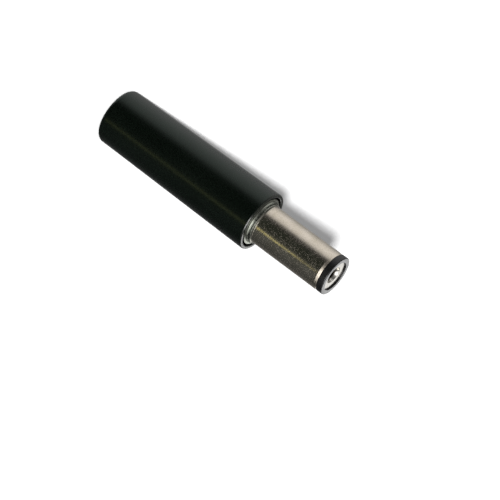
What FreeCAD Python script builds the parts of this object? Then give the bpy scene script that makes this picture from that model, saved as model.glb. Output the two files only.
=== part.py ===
"""A 5.5 x 2.1 mm barrel plug for low-voltage power leads, of the kind that is soldered by hand.

The plug stands on the cable end of its cover, with the barrel pointing up. The origin is the middle of that end
face, and +Z is the axis of the plug. The insert is a turned outer contact with a flange and a threaded stub, an
insulating sleeve with a collar at the tip, a rolled inner contact that a jack's pin enters, and two solder tags.
It screws into a tapered black cover, and the cable comes in through the hole in the cover's end.
"""

import FreeCAD, Part
import math
import os

# Sizes in millimetres and angles in degrees

# barrel, which enters the jack
barrel_r = 2.75
barrel_wall = 0.45
plug_reach = 12.05  # from the cover's mouth to the tip
barrel_edge_round = 0.15
barrel_end_taper = 0.45
barrel_end_fall = 0.1  # how far the radius falls along the taper

# root, collar and flange at the foot of the barrel
root_step = 0.18
root_height = 0.45  # above the cover's mouth
root_shoulder = 0.25  # height of the slope from the root to the barrel
root_round = 0.1
barrel_root_round = 0.35
collar_step = 0.3
collar_height = 0.14  # above the cover's mouth
collar_round = 0.06
flange_ledge = 0.35
flange_thick = 1.25
flange_sink = 0.05  # below the cover's mouth
flange_round = 0.1

# threaded stub, which the cover screws on
thread_ledge = 0.2
thread_depth = 0.4
thread_length = 4.5
thread_relief = 0.6
thread_clearance = 0.05

# the stub's riveted end, which holds the outer tag
tag_ring_width = 0.55
neck_wall = 0.4
lip_flare = 0.2
lip_thick = 0.25
bore_step = 0.85  # from the flange's top down to the narrow bore

# insulating sleeve
tip_length = 0.86
tip_round = 0.12
tip_mouth_round = 0.08
tip_web = 0.69  # width of the front ring

# inner contact
contact_bore_r = 1.05
contact_wall = 0.3
contact_sink = 0.25  # below the tip
contact_lip_thick = 0.5
contact_dish = 0.2  # fall of the lip from its rim to the flare
contact_flare_r = 1.45
contact_flare_depth = 0.35
contact_flare_round = 0.05
contact_lip_round = 0.14
contact_mouth_round = 0.25
contact_bore_depth = 10.5
seam_gap = 0.16
tongue_width = 0.5
tongue_thick = 0.18
tongue_slot = 0.08
tongue_start = 1.5  # from the contact's front face
tongue_length = 3.6
tongue_press = 0.12  # how far the tongues stand into the bore
tail_r = 0.8
rivet_flare = 0.4
rivet_thick = 0.3

# rear washer
washer_thick = 0.8
washer_spigot = 0.5
washer_round = 0.2

# solder tags
tag_thick = 0.3
outer_tag_length = 12.4
outer_tab_half_angle = 27.0
outer_neck_half_angle = 15.0
outer_hole_r = 0.55
outer_hole_drop = 4.2  # below the stub
clamp_length = 3.2
clamp_half_angle = 112.0
clamp_round = 0.6
clamp_neck = 1.3
tab_round = 0.25
clamp_rib_height = 0.15
clamp_rib_half_angle = 70.0
inner_tag_r = 1.6
inner_tag_width = 1.9
inner_tag_drop = 5.6
inner_tag_bend = 0.25
inner_hole_r = 0.45
inner_hole_edge = 0.95  # from the tag's end to the hole's middle

# cover
cover_length = 24.8
cover_taper = 0.25
cover_rear_round = 0.6
cover_mouth_round = 0.12
mouth_wall = 0.5
rear_wall = 1.2
cavity_gap = 0.25
cable_hole_r = 2.1
cable_hole_round = 0.25

# clearances
seat_gap = 0.03
running_gap = 0.05
flange_gap = 0.25

# Radii worked out from the barrel outwards, then inwards to the tags

root_r = barrel_r + root_step
collar_r = barrel_r + collar_step
flange_r = collar_r + flange_ledge
recess_r = flange_r + flange_gap
cover_front_r = recess_r + mouth_wall
cover_rear_r = cover_front_r - cover_taper
thread_r = flange_r - thread_ledge
thread_root_r = thread_r - thread_depth
tag_r = thread_root_r
tag_inner_r = tag_r - tag_thick
washer_r = tag_inner_r - running_gap
cavity_r = tag_r + cavity_gap
neck_r = tag_r - tag_ring_width
stub_bore_r = neck_r - neck_wall
barrel_bore_r = barrel_r - barrel_wall
contact_r = contact_bore_r + contact_wall
tip_r = barrel_r
tip_bore_r = tip_r - tip_web

# Heights above the cover's end face

mouth_z = cover_length
tip_z = mouth_z + plug_reach
barrel_end_z = tip_z - tip_length
flange_top_z = mouth_z - flange_sink
shoulder_z = flange_top_z - flange_thick
bore_step_z = flange_top_z - bore_step
stub_end_z = shoulder_z - thread_length
tag_ring_z = stub_end_z - tag_thick
lip_z = tag_ring_z - lip_thick
sleeve_end_z = lip_z + washer_spigot
washer_z = lip_z - washer_thick
inner_tag_z = washer_z - tag_thick
contact_front_z = tip_z - contact_sink
contact_seat_z = contact_front_z - contact_lip_thick
contact_bottom_z = contact_front_z - contact_bore_depth
outer_tag_end_z = stub_end_z - outer_tag_length

AXIS = FreeCAD.Vector(0, 0, 1)
ORIGIN = FreeCAD.Vector(0, 0, 0)
LARGEST_SHARE = 0.45  # of a side that a rounded corner may take
LEDGE_SHARE = 0.48  # of a ledge that each of the two roundings at its ends may take


def rounded_wire(corners):
    """A closed outline in the XZ plane. Each corner is (x, z) or (x, z, radius of its rounding)."""
    count = len(corners)
    points = [FreeCAD.Vector(corner[0], 0, corner[1]) for corner in corners]
    starts, ends, arcs = [], [], []
    for i, corner in enumerate(corners):
        before = points[i - 1] - points[i]
        after = points[(i + 1) % count] - points[i]
        radius = corner[2] if len(corner) > 2 else 0
        if radius <= 0:
            starts.append(points[i])
            ends.append(points[i])
            arcs.append(None)
            continue
        half = before.getAngle(after) / 2
        cut = min(radius / math.tan(half), LARGEST_SHARE * min(before.Length, after.Length))
        radius = cut * math.tan(half)
        before.normalize()
        after.normalize()
        inward = (before + after).normalize()
        middle = points[i] + inward * (radius / math.sin(half) - radius)
        starts.append(points[i] + before * cut)
        ends.append(points[i] + after * cut)
        arcs.append(Part.Arc(starts[-1], middle, ends[-1]).toShape())
    edges = []
    for i in range(count):
        if arcs[i]:
            edges.append(arcs[i])
        following = starts[(i + 1) % count]
        if (following - ends[i]).Length > 1e-6:
            edges.append(Part.LineSegment(ends[i], following).toShape())
    return Part.Wire(edges)


def turned(corners):
    """A full solid of revolution about the plug's axis, from an outline of (radius, height, rounding)."""
    return Part.Face(rounded_wire(corners)).revolve(ORIGIN, AXIS, 360)


def rolled(corners, half_angle):
    """A piece of rolled sheet: the outline swept about the axis, to half_angle on each side of +X."""
    face = Part.Face(rounded_wire(corners))
    face.rotate(ORIGIN, AXIS, -half_angle)
    return face.revolve(ORIGIN, AXIS, 2 * half_angle)


def pressed(corners, width):
    """A flat strip: the outline in the XZ plane, given its width along Y."""
    face = Part.Face(rounded_wire(corners))
    face.translate(FreeCAD.Vector(0, -width / 2, 0))
    return face.extrude(FreeCAD.Vector(0, width, 0))


def radial_hole(radius, height):
    """A round cutter that points along +X from the axis."""
    return Part.makeCylinder(radius, cover_front_r, FreeCAD.Vector(0, 0, height), FreeCAD.Vector(1, 0, 0))


def radial_edges(shape, heights):
    """The short straight edges through the rolled tag's thickness at the given heights."""
    found = []
    for edge in shape.Edges:
        ends = [vertex.Point for vertex in edge.Vertexes]
        if len(ends) != 2 or abs(ends[0].z - ends[1].z) > 1e-4:
            continue
        radii = sorted(math.hypot(point.x, point.y) for point in ends)
        level = any(abs(ends[0].z - height) < 1e-4 for height in heights)
        if level and abs(radii[0] - tag_inner_r) < 1e-3 and abs(radii[1] - tag_r) < 1e-3:
            found.append(edge)
    return found


def make_cover():
    """The tapered cover: a cavity for the tags, a bore for the thread and a recess for the flange."""
    return turned(
        [
            (cable_hole_r, 0, cable_hole_round),
            (cover_rear_r, 0, cover_rear_round),
            (cover_front_r, mouth_z, cover_mouth_round),
            (recess_r, mouth_z, cover_mouth_round),
            (recess_r, shoulder_z),
            (thread_r + thread_clearance, shoulder_z, thread_clearance),
            (thread_r + thread_clearance, tag_ring_z),
            (cavity_r, tag_ring_z - (thread_r + thread_clearance - cavity_r)),
            (cavity_r, rear_wall, cable_hole_round),
            (cable_hole_r, rear_wall),
        ]
    )


def make_barrel():
    """The turned outer contact: barrel, stepped root, flange, threaded stub and the riveted lip behind the tag."""
    return turned(
        [
            (barrel_bore_r, barrel_end_z),
            (barrel_r - barrel_end_fall, barrel_end_z, barrel_edge_round),
            (barrel_r, barrel_end_z - barrel_end_taper, barrel_edge_round),
            (barrel_r, mouth_z + root_height + root_shoulder, barrel_root_round),
            (root_r, mouth_z + root_height, root_round),
            (root_r, mouth_z + collar_height),
            (collar_r, mouth_z + collar_height, collar_round),
            (collar_r, flange_top_z, collar_round),
            (flange_r, flange_top_z, flange_round),
            (flange_r, shoulder_z),
            (thread_root_r, shoulder_z),
            (thread_root_r, shoulder_z - thread_relief + thread_depth),
            (thread_r, shoulder_z - thread_relief),
            (thread_r, stub_end_z + thread_depth),
            (thread_root_r, stub_end_z),
            (neck_r, stub_end_z),
            (neck_r, tag_ring_z),
            (neck_r + lip_flare, tag_ring_z),
            (neck_r + lip_flare, lip_z, lip_thick),
            (stub_bore_r, lip_z),
            (stub_bore_r, bore_step_z),
            (barrel_bore_r, bore_step_z),
        ]
    )


def make_tip_insulator():
    """The insulating sleeve: its collar caps the barrel's end, and its tube fills the stepped bore."""
    return turned(
        [
            (tip_bore_r, tip_z, tip_mouth_round),
            (tip_r, tip_z, tip_round),
            (tip_r, barrel_end_z),
            (barrel_bore_r - seat_gap, barrel_end_z),
            (barrel_bore_r - seat_gap, bore_step_z),
            (stub_bore_r - seat_gap, bore_step_z),
            (stub_bore_r - seat_gap, sleeve_end_z),
            (contact_r + seat_gap, sleeve_end_z),
            (contact_r + seat_gap, contact_seat_z),
            (tip_bore_r, contact_seat_z),
        ]
    )


def contact_tongue():
    """One sprung tongue, joined to the tube at its front end and pressed towards the axis."""
    root_z = contact_front_z - tongue_start
    free_z = root_z - tongue_length
    press_z = root_z - 0.7 * tongue_length
    inner = contact_bore_r - tongue_press
    return pressed(
        [
            (contact_bore_r, root_z + tongue_thick),
            (contact_bore_r, root_z, tongue_length / 4),
            (inner, press_z, tongue_length / 4),
            (contact_bore_r, free_z),
            (contact_bore_r + tongue_thick, free_z),
            (inner + tongue_thick, press_z, tongue_length / 4),
            (contact_bore_r + tongue_thick, root_z, tongue_length / 4),
            (contact_bore_r + tongue_thick, root_z + tongue_thick),
        ],
        tongue_width,
    )


def make_inner_contact():
    """The rolled inner contact: a flared tube with a seam and two tongues, and a tail riveted to its tag."""
    flare_z = contact_front_z - contact_dish
    tube = turned(
        [
            (0, contact_bottom_z),
            (contact_bore_r, contact_bottom_z),
            (contact_bore_r, flare_z - contact_flare_depth, contact_mouth_round),
            (contact_flare_r, flare_z, contact_flare_round),
            (tip_bore_r - seat_gap, contact_front_z, contact_lip_round),
            (tip_bore_r - seat_gap, contact_seat_z),
            (contact_r, contact_seat_z),
            (contact_r, sleeve_end_z),
            (tail_r, sleeve_end_z),
            (tail_r, inner_tag_z),
            (tail_r + rivet_flare, inner_tag_z),
            (tail_r + rivet_flare, inner_tag_z - rivet_thick, rivet_thick),
            (0, inner_tag_z - rivet_thick),
        ]
    )
    seam_depth = contact_bore_depth - contact_lip_thick - 2 * contact_wall
    seam_z = contact_seat_z - contact_wall - seam_depth
    seam = Part.makeBox(contact_r, seam_gap, seam_depth, FreeCAD.Vector(0, -seam_gap / 2, seam_z))
    seam.rotate(ORIGIN, AXIS, 90)
    tube = tube.cut(seam)
    window_width = tongue_width + 2 * tongue_slot
    window_z = contact_front_z - tongue_start - tongue_length - tongue_slot
    window_size = (contact_r, window_width, tongue_length + tongue_slot)
    window = Part.makeBox(*window_size, FreeCAD.Vector(0, -window_width / 2, window_z))
    tongue = contact_tongue()
    for angle in (0, 180):
        tube = tube.cut(window.rotated(ORIGIN, AXIS, angle))
        tube = tube.fuse(tongue.rotated(ORIGIN, AXIS, angle))
    return tube.removeSplitter()


def make_rear_washer():
    """The washer that keeps the two tags apart, with a spigot in the stub's bore."""
    return turned(
        [
            (tail_r + running_gap, washer_z),
            (washer_r, washer_z, washer_round),
            (washer_r, lip_z, washer_round),
            (stub_bore_r - running_gap, lip_z),
            (stub_bore_r - running_gap, sleeve_end_z),
            (tail_r + running_gap, sleeve_end_z),
        ]
    )


def make_outer_tag():
    """The outer solder tag: a ring under the riveted lip, a rolled tab with a hole, and the cable clamp."""
    clamp_top_z = outer_tag_end_z + clamp_length
    tab_end_z = clamp_top_z + clamp_neck

    def sheet(low, high, half_angle):
        corners = [(tag_inner_r, low), (tag_r, low), (tag_r, high), (tag_inner_r, high)]
        return rolled(corners, half_angle)

    tag = turned(
        [
            (neck_r + seat_gap, tag_ring_z),
            (tag_r, tag_ring_z),
            (tag_r, stub_end_z, tag_thick / 2),
            (neck_r + seat_gap, stub_end_z),
        ]
    )
    tag = tag.fuse(sheet(tab_end_z, tag_ring_z + tag_thick / 4, outer_tab_half_angle))
    tag = tag.fuse(sheet(clamp_top_z, tab_end_z, outer_neck_half_angle))
    tag = tag.fuse(sheet(outer_tag_end_z, clamp_top_z, clamp_half_angle)).removeSplitter()
    clamp_corners = radial_edges(tag, (outer_tag_end_z, clamp_top_z))
    tag = tag.makeFillet(min(clamp_round, clamp_neck * LARGEST_SHARE), clamp_corners)
    tab_ledge = math.radians(outer_tab_half_angle - outer_neck_half_angle) * tag_inner_r
    tag = tag.makeFillet(min(tab_round, tab_ledge * LEDGE_SHARE), radial_edges(tag, (tab_end_z,)))
    for share in (0.3, 0.7):
        rib_z = outer_tag_end_z + share * clamp_length
        rib = rolled(
            [
                (tag_inner_r + tag_thick / 2, rib_z - clamp_rib_height),
                (tag_inner_r, rib_z - clamp_rib_height),
                (tag_inner_r - clamp_rib_height, rib_z, clamp_rib_height),
                (tag_inner_r, rib_z + clamp_rib_height),
                (tag_inner_r + tag_thick / 2, rib_z + clamp_rib_height),
            ],
            clamp_rib_half_angle,
        )
        tag = tag.fuse(rib)
    return tag.cut(radial_hole(outer_hole_r, stub_end_z - outer_hole_drop)).removeSplitter()


def make_inner_tag():
    """The inner solder tag: a ring under the washer and a flat tab bent down beside it."""
    end_z = washer_z - inner_tag_drop
    ring = turned(
        [
            (tail_r + seat_gap, inner_tag_z),
            (inner_tag_r, inner_tag_z),
            (inner_tag_r, washer_z),
            (tail_r + seat_gap, washer_z),
        ]
    )
    tab = pressed(
        [
            (-tail_r - seat_gap - tag_thick, washer_z),
            (-inner_tag_r - inner_tag_bend, washer_z, inner_tag_bend + tag_thick),
            (-inner_tag_r - inner_tag_bend, end_z),
            (-inner_tag_r - inner_tag_bend + tag_thick, end_z),
            (-inner_tag_r - inner_tag_bend + tag_thick, inner_tag_z, inner_tag_bend),
            (-tail_r - seat_gap - tag_thick, inner_tag_z),
        ],
        inner_tag_width,
    )
    corners = [edge for edge in tab.Edges if edge.BoundBox.ZMax < end_z + 1e-4 and edge.BoundBox.YLength < 1e-4]
    tab = tab.makeFillet(inner_tag_width * LARGEST_SHARE, corners)
    hole = radial_hole(inner_hole_r, end_z + inner_hole_edge).rotated(ORIGIN, AXIS, 180)
    return ring.fuse(tab).cut(hole).removeSplitter()


PIECES = {
    "cover": make_cover,
    "barrel": make_barrel,
    "tip_insulator": make_tip_insulator,
    "inner_contact": make_inner_contact,
    "rear_washer": make_rear_washer,
    "outer_tag": make_outer_tag,
    "inner_tag": make_inner_tag,
}


def main():
    os.makedirs("parts", exist_ok=True)
    for name, make in PIECES.items():
        shape = make()
        print(name, "valid", shape.isValid(), "solids", len(shape.Solids), "volume", round(shape.Volume, 3))
        shape.exportStep(os.path.join("parts", name + ".step"))


main()
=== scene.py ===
"""Looks for the barrel plug: fine threads, turned and moulded surfaces, the studio and the camera."""

import bpy
import math
from mathutils import Matrix, Vector


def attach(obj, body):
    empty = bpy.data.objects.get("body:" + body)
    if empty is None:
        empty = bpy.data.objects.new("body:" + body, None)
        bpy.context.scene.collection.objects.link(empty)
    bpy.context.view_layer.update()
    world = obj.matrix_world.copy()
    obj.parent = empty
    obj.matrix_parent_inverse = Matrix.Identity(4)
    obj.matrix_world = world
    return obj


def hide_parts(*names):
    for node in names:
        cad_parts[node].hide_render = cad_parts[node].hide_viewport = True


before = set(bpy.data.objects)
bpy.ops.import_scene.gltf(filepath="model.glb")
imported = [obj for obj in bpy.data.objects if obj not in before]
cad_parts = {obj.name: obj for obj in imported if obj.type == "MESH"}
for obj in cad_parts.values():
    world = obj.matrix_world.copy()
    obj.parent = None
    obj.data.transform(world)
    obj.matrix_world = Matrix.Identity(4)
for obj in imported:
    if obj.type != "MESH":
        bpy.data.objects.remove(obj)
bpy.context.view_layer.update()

MM = 0.001
MICRON = 0.000001

# Heights and radii of the solids, in millimetres

barrel_r = 2.75
barrel_bore_r = 2.30
root_r = 2.93
collar_r = 3.05
flange_r = 3.40
recess_r = 3.65
cover_front_r = 4.15
cover_rear_r = 3.90
thread_r = 3.20
thread_root_r = 2.83
relief_r = 2.80
cover_bore_r = 3.25
cavity_r = 3.05
neck_r = 2.25
lip_r = 2.45
stub_bore_r = 1.85
tip_bore_r = 2.06
contact_bore_r = 1.05
contact_r = 1.35
cable_hole_r = 2.10
thread_gap = 0.05
seat_gap = 0.03

mouth_z = 24.80
tip_z = 36.85
barrel_end_z = 35.99
flange_top_z = 24.75
shoulder_z = 23.50
bore_step_z = 23.90
stub_end_z = 19.00
tag_ring_z = 18.70
lip_z = 18.45
sleeve_end_z = 18.95
contact_seat_z = 36.10
rear_wall = 1.20

# Small forms: the bevelled mouth, the stepped root, the barrel's tapered end and the contact's dished lip

mouth_bevel_z = mouth_z - 0.15
mouth_edge_r = cover_front_r - 0.065
barrel_foot_z = mouth_z + 0.6
root_top_z = mouth_z + 0.45
collar_top_z = mouth_z + 0.16
collar_top_r = collar_r - 0.04
collar_foot_r = collar_r + 0.03
taper_foot_z = barrel_end_z - 0.45
taper_top_r = barrel_r - 0.1
cavity_end_z = tag_ring_z - 0.2
lip_edge_z = tip_z - 0.21
lip_hole_z = tip_z - 0.29
lip_hole_r = contact_bore_r + 0.13
lip_back_z = contact_seat_z + 0.02

# Thread form, in millimetres

pitch = 0.75
crest_half = 0.07
flank = 0.22
stub_relief = 0.2
bore_lead_in = 0.1
rows_a_pitch = 16

# Steps of the round forms

ROUND_STEP = math.radians(12)
FEWEST_STEPS = 3
SHARP_TURN = math.radians(28)
LARGEST_CUT = 0.45  # of a side, for one rounding
LEAD = 0.04  # a short run beside each rounding, which keeps its shading to itself
LARGEST_LEAD = 0.4  # of a side
LONGEST_RUN = 0.8
WIDE_SEGMENTS = 256
TIP_SEGMENTS = 192
LIP_SEGMENTS = 160


def rounded(corners):
    """A closed outline of (radius, height) points. A corner's third value is the radius of its rounding."""
    outline = []
    count = len(corners)
    for i, corner in enumerate(corners):
        here = Vector(corner[:2])
        before = Vector(corners[i - 1][:2]) - here
        after = Vector(corners[(i + 1) % count][:2]) - here
        radius = corner[2] if len(corner) > 2 else 0
        if radius <= 0:
            outline.append(here)
            continue
        half = before.angle(after) / 2
        cut = min(radius / math.tan(half), LARGEST_CUT * min(before.length, after.length))
        radius = cut * math.tan(half)
        lead_before = min(LEAD, LARGEST_LEAD * before.length)
        lead_after = min(LEAD, LARGEST_LEAD * after.length)
        before.normalize()
        after.normalize()
        centre = here + (before + after).normalized() * (radius / math.sin(half))
        first = here + before * cut - centre
        last = here + after * cut - centre
        turn = math.pi - 2 * half
        steps = max(FEWEST_STEPS, math.ceil(turn / ROUND_STEP))
        outline.append(here + before * (cut + lead_before))
        for k in range(steps + 1):
            angle = turn * k / steps
            ray = (first * math.sin(turn - angle) + last * math.sin(angle)) / math.sin(turn)
            outline.append(centre + ray)
        outline.append(here + after * (cut + lead_after))
    return outline


def subdivided(outline):
    """The same closed outline with its long runs divided, so that fine bumps have even faces to lie on."""
    result = []
    for i, here in enumerate(outline):
        following = outline[(i + 1) % len(outline)]
        result.append(here)
        parts = math.ceil((following - here).length / LONGEST_RUN)
        for k in range(1, parts):
            result.append(here.lerp(following, k / parts))
    return result


def with_thread_rows(outline, radius, high, low):
    """The outline with fine rows in its straight run from high to low, and the first and last row's number."""
    start = outline.index(Vector((radius, high)))
    end = outline.index(Vector((radius, low)))
    count = round((high - low) / pitch * rows_a_pitch)
    rows = [Vector((radius, high + (low - high) * k / count)) for k in range(count + 1)]
    return outline[:start] + rows + outline[end + 1 :], (start, start + count)


def ridge(angle, height):
    """Radius of a right-hand thread at this place, from its root to its crest."""
    turn = height / pitch - angle / (2 * math.pi)
    across = abs(turn - math.floor(turn) - 0.5) * pitch
    share = min(max((crest_half + flank - across) / flank, 0), 1)
    return thread_root_r + (thread_r - thread_root_r) * share


def male_thread(angle, height):
    lower = relief_r + max(height - stub_end_z, 0)
    upper = relief_r + max(shoulder_z - stub_relief - height, 0)
    return min(ridge(angle, height), lower, upper)


def female_thread(angle, height):
    lower = cover_bore_r - max(height - tag_ring_z - bore_lead_in, 0)
    upper = cover_bore_r - max(shoulder_z - bore_lead_in - height, 0)
    return max(ridge(angle, height) + thread_gap, lower, upper)


def material_to(piece, material):
    piece.data.materials.clear()
    piece.data.materials.append(material)


def turned(name, outline, segments, thread=None):
    """A closed lathe mesh. thread is (first row, last row, radius function) for rows that a thread shapes."""
    vertices = []
    rows = len(outline)
    for j, point in enumerate(outline):
        for i in range(segments):
            angle = 2 * math.pi * i / segments
            radius = point[0]
            if thread and thread[0] <= j <= thread[1]:
                radius = thread[2](angle, point[1])
            vertices.append((radius * math.cos(angle) * MM, radius * math.sin(angle) * MM, point[1] * MM))
    faces = []
    runs_outwards = sum(outline[j - 1].cross(outline[j]) for j in range(rows)) > 0
    for j in range(rows):
        k = (j + 1) % rows
        for i in range(segments):
            m = (i + 1) % segments
            face = (j * segments + i, j * segments + m, k * segments + m, k * segments + i)
            faces.append(face if runs_outwards else face[::-1])
    mesh = bpy.data.meshes.new(name)
    mesh.from_pydata(vertices, [], faces)
    mesh.update()
    sharp_rows = set()
    for j in range(rows):
        if thread and thread[0] < j < thread[1]:
            continue
        before = outline[j] - outline[j - 1]
        after = outline[(j + 1) % rows] - outline[j]
        if before.angle(after) > SHARP_TURN:
            sharp_rows.add(j)
    for polygon in mesh.polygons:
        polygon.use_smooth = True
    for edge in mesh.edges:
        row = edge.vertices[0] // segments
        if row == edge.vertices[1] // segments and row in sharp_rows:
            edge.use_edge_sharp = True
    piece = bpy.data.objects.new(name, mesh)
    bpy.context.scene.collection.objects.link(piece)
    return piece


# Materials

NOISE_LOW, NOISE_HIGH = 0.3, 0.7  # what nearly all of a noise lies between


class Nodes:
    """Adds nodes to a node tree. A value is a number, a colour, or another node's output."""

    def __init__(self, tree):
        self.tree = tree

    def add(self, kind):
        return self.tree.nodes.new(kind)

    def put(self, socket, value):
        if isinstance(value, tuple):
            socket.default_value = (*value, 1)
        elif isinstance(value, (int, float)):
            socket.default_value = value
        else:
            self.tree.links.new(value, socket)

    def axes(self, place):
        """The three parts of a vector."""
        split = self.add("ShaderNodeSeparateXYZ")
        self.put(split.inputs["Vector"], place)
        return [split.outputs[name] for name in "XYZ"]

    def math(self, operation, *values):
        node = self.add("ShaderNodeMath")
        node.operation = operation
        for socket, value in zip(node.inputs, values):
            self.put(socket, value)
        return node.outputs["Value"]

    def mix(self, factor, first, second):
        node = self.add("ShaderNodeMix")
        node.data_type = "RGBA"
        for socket, value in zip((node.inputs[0], node.inputs[6], node.inputs[7]), (factor, first, second)):
            self.put(socket, value)
        return node.outputs[2]

    def ramp(self, factor, *stops):
        """A colour ramp through (position, grey or colour) stops."""
        node = self.add("ShaderNodeValToRGB")
        for _ in range(len(stops) - 2):
            node.color_ramp.elements.new(0.5)
        for element, (position, value) in zip(node.color_ramp.elements, stops):
            element.position = position
            element.color = (*value, 1) if isinstance(value, tuple) else (value, value, value, 1)
        self.put(node.inputs["Fac"], factor)
        return node.outputs["Color"]


class Shader(Nodes):
    """One material, its surface, and the places on its piece in metres."""

    def __init__(self, name):
        self.material = bpy.data.materials.new(name)
        self.material.use_nodes = True
        super().__init__(self.material.node_tree)
        self.surface = self.tree.nodes["Principled BSDF"]
        self.place = self.add("ShaderNodeTexCoord").outputs["Object"]

    def mapped(self, scale):
        node = self.add("ShaderNodeMapping")
        node.inputs["Scale"].default_value = scale
        self.put(node.inputs["Vector"], self.place)
        return node.outputs["Vector"]

    def radius(self, x, y):
        """Distance from the plug's axis."""
        return self.math("SQRT", self.math("ADD", self.math("MULTIPLY", x, x), self.math("MULTIPLY", y, y)))

    def turned_rings(self, scale, around):
        """Coordinates that change quickly along the radius and the height, and slowly round the axis."""
        x, y, height = self.axes(self.place)
        join = self.add("ShaderNodeCombineXYZ")
        self.put(join.inputs["X"], self.math("MULTIPLY", self.radius(x, y), scale))
        self.put(join.inputs["Y"], self.math("MULTIPLY", height, scale))
        self.put(join.inputs["Z"], self.math("MULTIPLY", self.math("ADD", x, y), around))
        return join.outputs["Vector"]

    def noise(self, vector, scale=1.0, detail=3.0, roughness=0.5):
        node = self.add("ShaderNodeTexNoise")
        node.inputs["Scale"].default_value = scale
        node.inputs["Detail"].default_value = detail
        node.inputs["Roughness"].default_value = roughness
        self.put(node.inputs["Vector"], vector)
        return node.outputs["Fac"]

    def span(self, factor, low, high, start=NOISE_LOW, end=NOISE_HIGH):
        """From low to high while the factor goes from start to end."""
        node = self.add("ShaderNodeMapRange")
        node.inputs["From Min"].default_value = start
        node.inputs["From Max"].default_value = end
        node.inputs["To Min"].default_value = low
        node.inputs["To Max"].default_value = high
        self.put(node.inputs["Value"], factor)
        return node.outputs["Result"]

    def rise(self, length, start, end):
        """From 0 to 1 while a length goes from start to end, in millimetres."""
        return self.span(length, 0.0, 1.0, start * MM, end * MM)

    def fall(self, length, start, end):
        """From 1 to 0 while a length goes from start to end, in millimetres."""
        return self.span(length, 1.0, 0.0, start * MM, end * MM)

    def tones(self, noise, first, second):
        """A colour that a noise takes from the first tone to the second."""
        return self.ramp(noise, (NOISE_LOW, first), (NOISE_HIGH, second))

    def bump(self, height, microns, strength, below=None):
        node = self.add("ShaderNodeBump")
        node.inputs["Distance"].default_value = microns * MICRON
        node.inputs["Strength"].default_value = strength
        self.put(node.inputs["Height"], height)
        if below:
            self.put(node.inputs["Normal"], below)
        return node.outputs["Normal"]

    def set(self, **sockets):
        for name, value in sockets.items():
            self.put(self.surface.inputs[name.replace("_", " ")], value)


def cover_plastic():
    """Black moulded plastic, semi-gloss, with a faint grain, a slight flow unevenness and a painted highlight
    that makes the mouth face lighter.
    """
    shader = Shader("cover_plastic")
    cloud = shader.noise(shader.mapped((1, 1, 0.25)), 420, 4)
    grain = shader.noise(shader.mapped((1, 1, 1)), 9000, 3, 0.6)
    marks = shader.noise(shader.mapped((1, 1, 0.06)), 5200, 2)
    height = shader.axes(shader.place)[2]
    uneven = shader.math("MULTIPLY_ADD", cloud, 60 * MICRON, height)
    # Painted highlight: the mouth face, the top of the cover, gets a lighter colour than the rest.
    mouth_highlight_mask = shader.rise(uneven, mouth_z - 0.06, mouth_z + 0.02)
    worn = shader.rise(height, mouth_z - 0.2, mouth_z - 0.14)
    tone = shader.tones(cloud, (0.0013, 0.0036, 0.0017), (0.0022, 0.0050, 0.0027))
    painted_mouth_highlight = shader.tones(grain, (0.028, 0.036, 0.029), (0.050, 0.060, 0.050))
    rough = shader.math("ADD", shader.span(grain, 0.21, 0.30), shader.span(cloud, -0.02, 0.03))
    low = shader.bump(cloud, 20, 0.25)
    middle = shader.bump(marks, 2, 0.3, low)
    shader.set(
        Base_Color=shader.mix(mouth_highlight_mask, tone, painted_mouth_highlight),
        Roughness=rough,
        Normal=shader.bump(grain, 3, 0.5, middle),
        IOR=1.43,
        Specular_Tint=shader.mix(worn, (0.84, 1.0, 0.9), (1.0, 1.0, 0.97)),
    )
    return shader.material


def nickel_plate():
    """Satin nickel on turned brass: rings left by the tool, pits, a warm cast, and a rougher root painted
    darker as shade where it meets the cover's mouth.
    """
    shader = Shader("nickel_plate")
    even = shader.mapped((1, 1, 1))
    rings = shader.noise(shader.turned_rings(11000, 50), detail=4, roughness=0.6)
    broad = shader.noise(shader.turned_rings(1400, 90))
    pits = shader.noise(even, 4200, 5, 0.7)
    grain = shader.noise(even, 9000, 4, 0.65)
    cloud = shader.noise(even, 700, 4)
    height = shader.axes(shader.place)[2]
    uneven = shader.math("MULTIPLY_ADD", cloud, 300 * MICRON, height)
    above_shoulder = shader.rise(height, shoulder_z - 0.2, shoulder_z + 0.2)
    # Painted shade: the root just above the collar, beside the cover's mouth, is coloured darker, and it is
    # also rougher.
    dull_shaded_root = shader.math("MULTIPLY", shader.fall(uneven, mouth_z + 0.55, mouth_z + 0.95), above_shoulder)
    tone = shader.tones(cloud, (0.64, 0.565, 0.475), (0.745, 0.665, 0.58))
    tone = shader.mix(shader.span(grain, 0.0, 0.6, 0.45, 0.75), tone, (0.36, 0.36, 0.22))
    painted_root_shade = shader.ramp(pits, (0.35, (0.22, 0.23, 0.19)), (0.65, (0.50, 0.52, 0.45)))
    rough = shader.math("ADD", shader.span(rings, 0.15, 0.19), shader.span(pits, 0.0, 0.18, 0.46, 0.66))
    rough = shader.math("ADD", rough, shader.math("MULTIPLY", dull_shaded_root, 0.1))
    low = shader.bump(broad, 8, 0.5)
    middle = shader.bump(rings, 4, 0.7, low)
    shader.set(
        Base_Color=shader.mix(dull_shaded_root, tone, painted_root_shade),
        Metallic=shader.span(pits, 1.0, 0.962, 0.44, 0.66),
        Roughness=rough,
        Normal=shader.bump(pits, 8, 0.7, middle),
    )
    return shader.material


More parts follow.
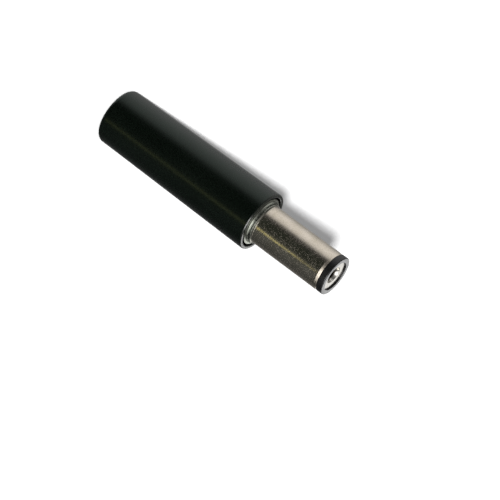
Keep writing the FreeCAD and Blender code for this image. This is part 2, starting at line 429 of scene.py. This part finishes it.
def insulator_plastic():
    """Black insulating plastic, satin, with the rings of its turned collar."""
    shader = Shader("insulator_plastic")
    even = shader.mapped((1, 1, 1))
    cloud = shader.noise(even, 900, 4)
    grain = shader.noise(even, 14000, 3, 0.6)
    rings = shader.noise(shader.mapped((60, 60, 12000)))
    low = shader.bump(rings, 1.5, 0.4)
    shader.set(
        Base_Color=shader.tones(cloud, (0.0030, 0.0030, 0.0032), (0.0065, 0.0062, 0.0060)),
        Roughness=shader.math("ADD", shader.span(grain, 0.30, 0.40), shader.span(cloud, -0.03, 0.04)),
        Normal=shader.bump(grain, 3, 0.5, low),
        IOR=1.49,
    )
    return shader.material


def contact_plate():
    """Bright nickel on the rolled contact, with long drawing lines, and painted shade, dark and duller, deep
    inside the bore.
    """
    shader = Shader("contact_plate")
    even = shader.mapped((1, 1, 1))
    lines = shader.noise(shader.mapped((9000, 9000, 120)), detail=4, roughness=0.6)
    cloud = shader.noise(even, 1500, 4)
    grain = shader.noise(even, 18000, 2)
    x, y, height = shader.axes(shader.place)
    inside = shader.fall(shader.radius(x, y), contact_bore_r + 0.05, contact_bore_r + 0.09)
    # Painted shade: the bore below the lip's seat is coloured dark, and it is also rougher.
    dull_shaded_bore = shader.math("MULTIPLY", inside, shader.fall(height, contact_seat_z + 0.02, contact_seat_z + 0.14))
    tone = shader.tones(cloud, (0.76, 0.73, 0.67), (0.84, 0.82, 0.77))
    rough = shader.math("ADD", shader.span(cloud, 0.14, 0.22), shader.span(grain, -0.03, 0.05))
    low = shader.bump(lines, 1, 0.4)
    shader.set(
        Base_Color=shader.mix(dull_shaded_bore, tone, (0.04, 0.033, 0.024)),
        Metallic=1.0,
        Roughness=shader.math("ADD", rough, shader.math("MULTIPLY", dull_shaded_bore, 0.2)),
        Normal=shader.bump(grain, 1.2, 0.4, low),
    )
    return shader.material


def washer_fibre():
    """Brown fibre board: pressed layers, short fibres and a waxy surface."""
    shader = Shader("washer_fibre")
    fibres = shader.noise(shader.mapped((1600, 5200, 3000)), detail=5, roughness=0.6)
    cloud = shader.noise(shader.mapped((1, 1, 1)), 900, 4)
    layers = shader.noise(shader.mapped((200, 200, 9000)), detail=2)
    tone = shader.tones(fibres, (0.11, 0.052, 0.024), (0.20, 0.105, 0.05))
    low = shader.bump(layers, 5, 0.4)
    shader.set(
        Base_Color=shader.mix(shader.span(layers, 0.0, 0.5, 0.4, 0.7), tone, (0.075, 0.034, 0.016)),
        Roughness=shader.span(cloud, 0.45, 0.62),
        Normal=shader.bump(fibres, 6, 0.5, low),
        IOR=1.52,
    )
    return shader.material


def tinned_sheet():
    """Tinned brass sheet: rolled along its length, soft grey, with duller patches."""
    shader = Shader("tinned_sheet")
    even = shader.mapped((1, 1, 1))
    lines = shader.noise(shader.mapped((7000, 7000, 160)), detail=4, roughness=0.6)
    cloud = shader.noise(even, 1100, 5, 0.6)
    grain = shader.noise(even, 12000, 2)
    low = shader.bump(lines, 1.5, 0.5)
    shader.set(
        Base_Color=shader.tones(cloud, (0.50, 0.485, 0.44), (0.70, 0.69, 0.66)),
        Metallic=1.0,
        Roughness=shader.math("ADD", shader.span(cloud, 0.38, 0.24), shader.span(lines, -0.05, 0.06)),
        Normal=shader.bump(grain, 2.5, 0.4, low),
    )
    return shader.material


def backdrop_paper():
    """The pale floor: matt white paper with a trace of tooth."""
    shader = Shader("backdrop_paper")
    tooth = shader.noise(shader.mapped((1, 1, 1)), 2500)
    shader.set(
        Base_Color=shader.tones(tooth, (0.845, 0.845, 0.845), (0.86, 0.86, 0.86)),
        Roughness=1.0,
        Specular_IOR_Level=0.0,
    )
    return shader.material


plastic = cover_plastic()
nickel = nickel_plate()
black = insulator_plastic()
bright = contact_plate()
fibre = washer_fibre()
tinned = tinned_sheet()

# Cover, with the cut thread in its bore

cover_outline = rounded(
    [
        (cable_hole_r, 0, 0.25),
        (cover_rear_r, 0, 0.6),
        (cover_front_r, mouth_bevel_z, 0.05),
        (mouth_edge_r, mouth_z, 0.04),
        (recess_r, mouth_z, 0.12),
        (recess_r, shoulder_z),
        (cover_bore_r, shoulder_z),
        (cover_bore_r, tag_ring_z),
        (cavity_r, cavity_end_z),
        (cavity_r, rear_wall, 0.25),
        (cable_hole_r, rear_wall),
    ]
)
cover_outline, thread_ends = with_thread_rows(subdivided(cover_outline), cover_bore_r, shoulder_z, tag_ring_z)
cover = turned("cover_shell", cover_outline, WIDE_SEGMENTS, (*thread_ends, female_thread))
material_to(cover, plastic)
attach(cover, "cover")
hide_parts("cover")

# Barrel, turned in one with its root, collar, flange and threaded stub

barrel_outline = rounded(
    [
        (barrel_bore_r, bore_step_z),
        (barrel_bore_r, barrel_end_z),
        (taper_top_r, barrel_end_z, 0.15),
        (barrel_r, taper_foot_z, 0.15),
        (barrel_r, barrel_foot_z, 0.12),
        (root_r, root_top_z, 0.08),
        (root_r, collar_top_z, 0.04),
        (collar_top_r, collar_top_z, 0.03),
        (collar_foot_r, flange_top_z, 0.02),
        (flange_r, flange_top_z, 0.1),
        (flange_r, shoulder_z),
        (relief_r, shoulder_z),
        (relief_r, stub_end_z),
        (neck_r, stub_end_z),
        (neck_r, tag_ring_z),
        (lip_r, tag_ring_z),
        (lip_r, lip_z, 0.25),
        (stub_bore_r, lip_z),
        (stub_bore_r, bore_step_z),
    ]
)
barrel_outline, thread_ends = with_thread_rows(barrel_outline, relief_r, shoulder_z, stub_end_z)
barrel = turned("barrel_shell", barrel_outline, WIDE_SEGMENTS, (*thread_ends, male_thread))
material_to(barrel, nickel)
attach(barrel, "insert")
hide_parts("barrel")

# Tip insulator

tip_outline = rounded(
    [
        (tip_bore_r, tip_z, 0.08),
        (barrel_r, tip_z, 0.12),
        (barrel_r, barrel_end_z),
        (barrel_bore_r - seat_gap, barrel_end_z),
        (barrel_bore_r - seat_gap, bore_step_z),
        (stub_bore_r - seat_gap, bore_step_z),
        (stub_bore_r - seat_gap, sleeve_end_z),
        (contact_r + seat_gap, sleeve_end_z),
        (contact_r + seat_gap, contact_seat_z),
        (tip_bore_r, contact_seat_z),
    ]
)
tip = turned("tip_sleeve", tip_outline, TIP_SEGMENTS)
material_to(tip, black)
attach(tip, "insert")
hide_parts("tip_insulator")

# Polished lip of the contact: a shallow dish round the mouth of the bore

lip_outline = rounded(
    [
        (contact_bore_r, lip_back_z),
        (lip_hole_r, lip_hole_z, 0.05),
        (tip_bore_r - seat_gap, lip_edge_z, 0.03),
        (tip_bore_r - seat_gap, lip_back_z),
    ]
)
lip = turned("contact_lip", lip_outline, LIP_SEGMENTS)
material_to(lip, bright)
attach(lip, "insert")

# CAD pieces that keep their own solids

for node, material in (
    ("inner_contact", bright),
    ("rear_washer", fibre),
    ("outer_tag", tinned),
    ("inner_tag", tinned),
):
    material_to(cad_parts[node], material)

# Floor, in metres

bpy.ops.mesh.primitive_grid_add(x_subdivisions=8, y_subdivisions=8, size=4, location=(0, 0, 0))
floor = bpy.context.object
floor.name = "floor"
material_to(floor, backdrop_paper())
floor.visible_glossy = False
floor.visible_shadow = False

# Camera, at the photograph's angle: the plug's axis comes 19.5 degrees towards it, and the frame is rolled

tilt = math.radians(19.5)
roll = math.radians(36.8)
distance = 300.0
aim_right = 17.2
aim_up = -17.5
back = Vector((0, -math.cos(tilt), math.sin(tilt)))
side = Vector((1, 0, 0))
rise = Vector((0, math.sin(tilt), math.cos(tilt)))
right = -math.sin(roll) * side + math.cos(roll) * rise
up = -math.cos(roll) * side - math.sin(roll) * rise
where = (distance * back + aim_right * right + aim_up * up) * MM
camera_data = bpy.data.cameras.new("camera")
camera_data.sensor_width = 36
camera_data.lens = 166.8
camera_data.clip_start = 0.01
camera_data.clip_end = 20
camera = bpy.data.objects.new("camera", camera_data)
camera.matrix_world = Matrix.Translation(where) @ Matrix((right, up, back)).transposed().to_4x4()
bpy.context.scene.collection.objects.link(camera)
bpy.context.scene.camera = camera

# Light: a soft studio around the plug, brighter to one side, and a key beside the camera


def studio():
    """Luminance of the room by direction. Turns are in degrees from the camera's side towards -X."""
    world = bpy.data.worlds.new("studio")
    world.use_nodes = True
    bpy.context.scene.world = world
    room = Nodes(world.node_tree)
    x, y, z = room.axes(room.add("ShaderNodeTexCoord").outputs["Generated"])
    turn = room.math("ARCTAN2", room.math("MULTIPLY", x, -1), room.math("MULTIPLY", y, -1))
    share = room.math("MULTIPLY_ADD", turn, 0.5 / math.pi, 0.5)
    upward = room.math("MULTIPLY_ADD", z, 0.5, 0.5)
    high_rear = room.math("MULTIPLY", room.math("MAXIMUM", z, 0.0), y)

    def by_turn(*stops):
        return room.ramp(share, *(((angle + 180) / 360, value) for angle, value in stops))

    def over(seen, factor, start, end, added):
        """The added light over what is seen, where the factor is past start, and fully past end."""
        return room.mix(room.ramp(factor, (start, 0.0), (end, 1.0)), seen, added)

    dark = (0.021, 0.026, 0.0205)
    below = by_turn(
        (-180, 0.5),
        (-165, 0.3),
        (-147, 0.12),
        (-115, (0.054, 0.059, 0.058)),
        (-95, (0.062, 0.067, 0.066)),
        (-75, (0.083, 0.090, 0.088)),
        (-60, (0.091, 0.099, 0.097)),
        (-48, (0.070, 0.077, 0.075)),
        (-30, (0.045, 0.050, 0.048)),
        (-15, dark),
        (20, dark),
        (38, 0.05),
        (47, 0.2),
        (53, 0.45),
        (60, 0.7),
        (70, 0.85),
        (82, 0.92),
        (98, 0.92),
        (110, 0.8),
        (126, 0.6),
        (147, 0.32),
        (158, 0.38),
        (180, 0.5),
    )
    level = by_turn(
        (-180, 0.15),
        (-120, 0.15),
        (-98, 0.3),
        (-84, 1.5),
        (-62, 2.1),
        (-26, 2.1),
        (-14, 1.4),
        (0, 0.6),
        (14, 0.25),
        (38, 0.12),
        (53, 0.45),
        (70, 0.85),
        (110, 0.8),
        (147, 0.2),
        (180, 0.15),
    )
    above = by_turn(
        (-180, 0.15),
        (-120, 0.1),
        (-70, 0.2),
        (-58, 2.0),
        (-45, 2.4),
        (-28, 2.4),
        (-17, 1.0),
        (-10, 0.12),
        (35, 0.12),
        (60, 0.25),
        (120, 0.2),
        (180, 0.15),
    )
    steep = by_turn((-180, 0.1), (-70, 0.1), (-55, 0.5), (-30, 0.5), (-18, 0.1), (60, 0.08), (180, 0.1))
    seen = over(below, upward, 0.515, 0.535, level)
    seen = over(seen, upward, 0.60, 0.64, above)
    seen = over(seen, z, 0.55, 0.68, steep)
    seen = over(seen, high_rear, 0.33, 0.4, (0.3, 0.3, 0.29))
    seen = over(seen, z, 0.93, 0.97, (0.4, 0.4, 0.4))
    path = room.add("ShaderNodeLightPath")
    chosen = room.mix(path.outputs["Is Glossy Ray"], (0.34, 0.34, 0.34), seen)
    chosen = room.mix(path.outputs["Is Camera Ray"], chosen, (1.0, 1.0, 1.0))
    room.put(world.node_tree.nodes["Background"].inputs["Color"], chosen)


studio()


def lit_only(light, *pieces):
    """Keeps a light to some pieces."""
    group = bpy.data.collections.new("lit_by_" + light.name)
    for piece in pieces:
        group.objects.link(piece)
    light.light_linking.receiver_collection = group


def soft_box(name, where, facing, width, height, luminance, colour):
    """A light that only reflections show. Sizes and places are in millimetres."""
    data = bpy.data.lights.new(name, "AREA")
    data.shape = "RECTANGLE"
    data.size = width * MM
    data.size_y = height * MM
    data.energy = luminance * math.pi * data.size * data.size_y
    data.color = colour
    light = bpy.data.objects.new(name, data)
    light.location = where * MM
    light.rotation_euler = facing.to_track_quat("-Z", "Y").to_euler()
    light.visible_camera = False
    light.visible_diffuse = False
    bpy.context.scene.collection.objects.link(light)
    return light


def way(turn, climb):
    """A direction away from the plug: its turn from the camera's side towards -X, in degrees, and its climb."""
    angle = math.radians(turn)
    return Vector((-math.sin(angle), -math.cos(angle), climb)).normalized()


white = (1.0, 1.0, 1.0)
yellow = (1.0, 0.94, 0.42)
to_the_front = Vector((0, -1, 0))
lamp_distance = 60.0

# Cards behind the plug, each for one piece: place, width, height, luminance

for name, place, width, height, luminance, piece in (
    ("mouth_card", (16.0, 30.0, 36.5), 30.0, 11.0, 2.4, cover),
    ("flange_card", (16.0, 30.0, 36.5), 30.0, 11.0, 1.7, barrel),
    ("tip_card", (8.0, 30.0, 52.0), 36.0, 26.0, 2.5, tip),
    ("lip_card", (-6.0, 30.0, 52.0), 22.0, 26.0, 0.75, lip),
):
    lit_only(soft_box(name, Vector(place), to_the_front, width, height, luminance, white), piece)

# Two lamps before the plug: a narrow yellow strip, and one that draws the edges of the black plastic

strip_way = way(-40.0, 0.0)
soft_box("strip", strip_way * lamp_distance + Vector((0, 0, -10.0)), -strip_way, 5.0, 46.0, 1.1, yellow)
lamp_way = way(-36.0, 0.55)
lamp_place = lamp_way * lamp_distance + Vector((0, 0, 25.0))
lit_only(soft_box("edge_lamp", lamp_place, -lamp_way, 44.0, 18.0, 13.0, white), cover, tip)

# The key, for the floor's brightness and the plug's shadow

key_data = bpy.data.lights.new("key", "SUN")
key_data.energy = 9.6
key_data.angle = math.radians(1.4)
key = bpy.data.objects.new("key", key_data)
key_turn = math.radians(2.4)
key_from = back * math.cos(key_turn) + side * math.sin(key_turn)
key.rotation_euler = key_from.to_track_quat("Z", "Y").to_euler()
key.visible_glossy = False
bpy.context.scene.collection.objects.link(key)
lit_only(key, floor)

bpy.context.scene.view_settings.view_transform = "Standard"
bpy.context.scene.view_settings.look = "None"
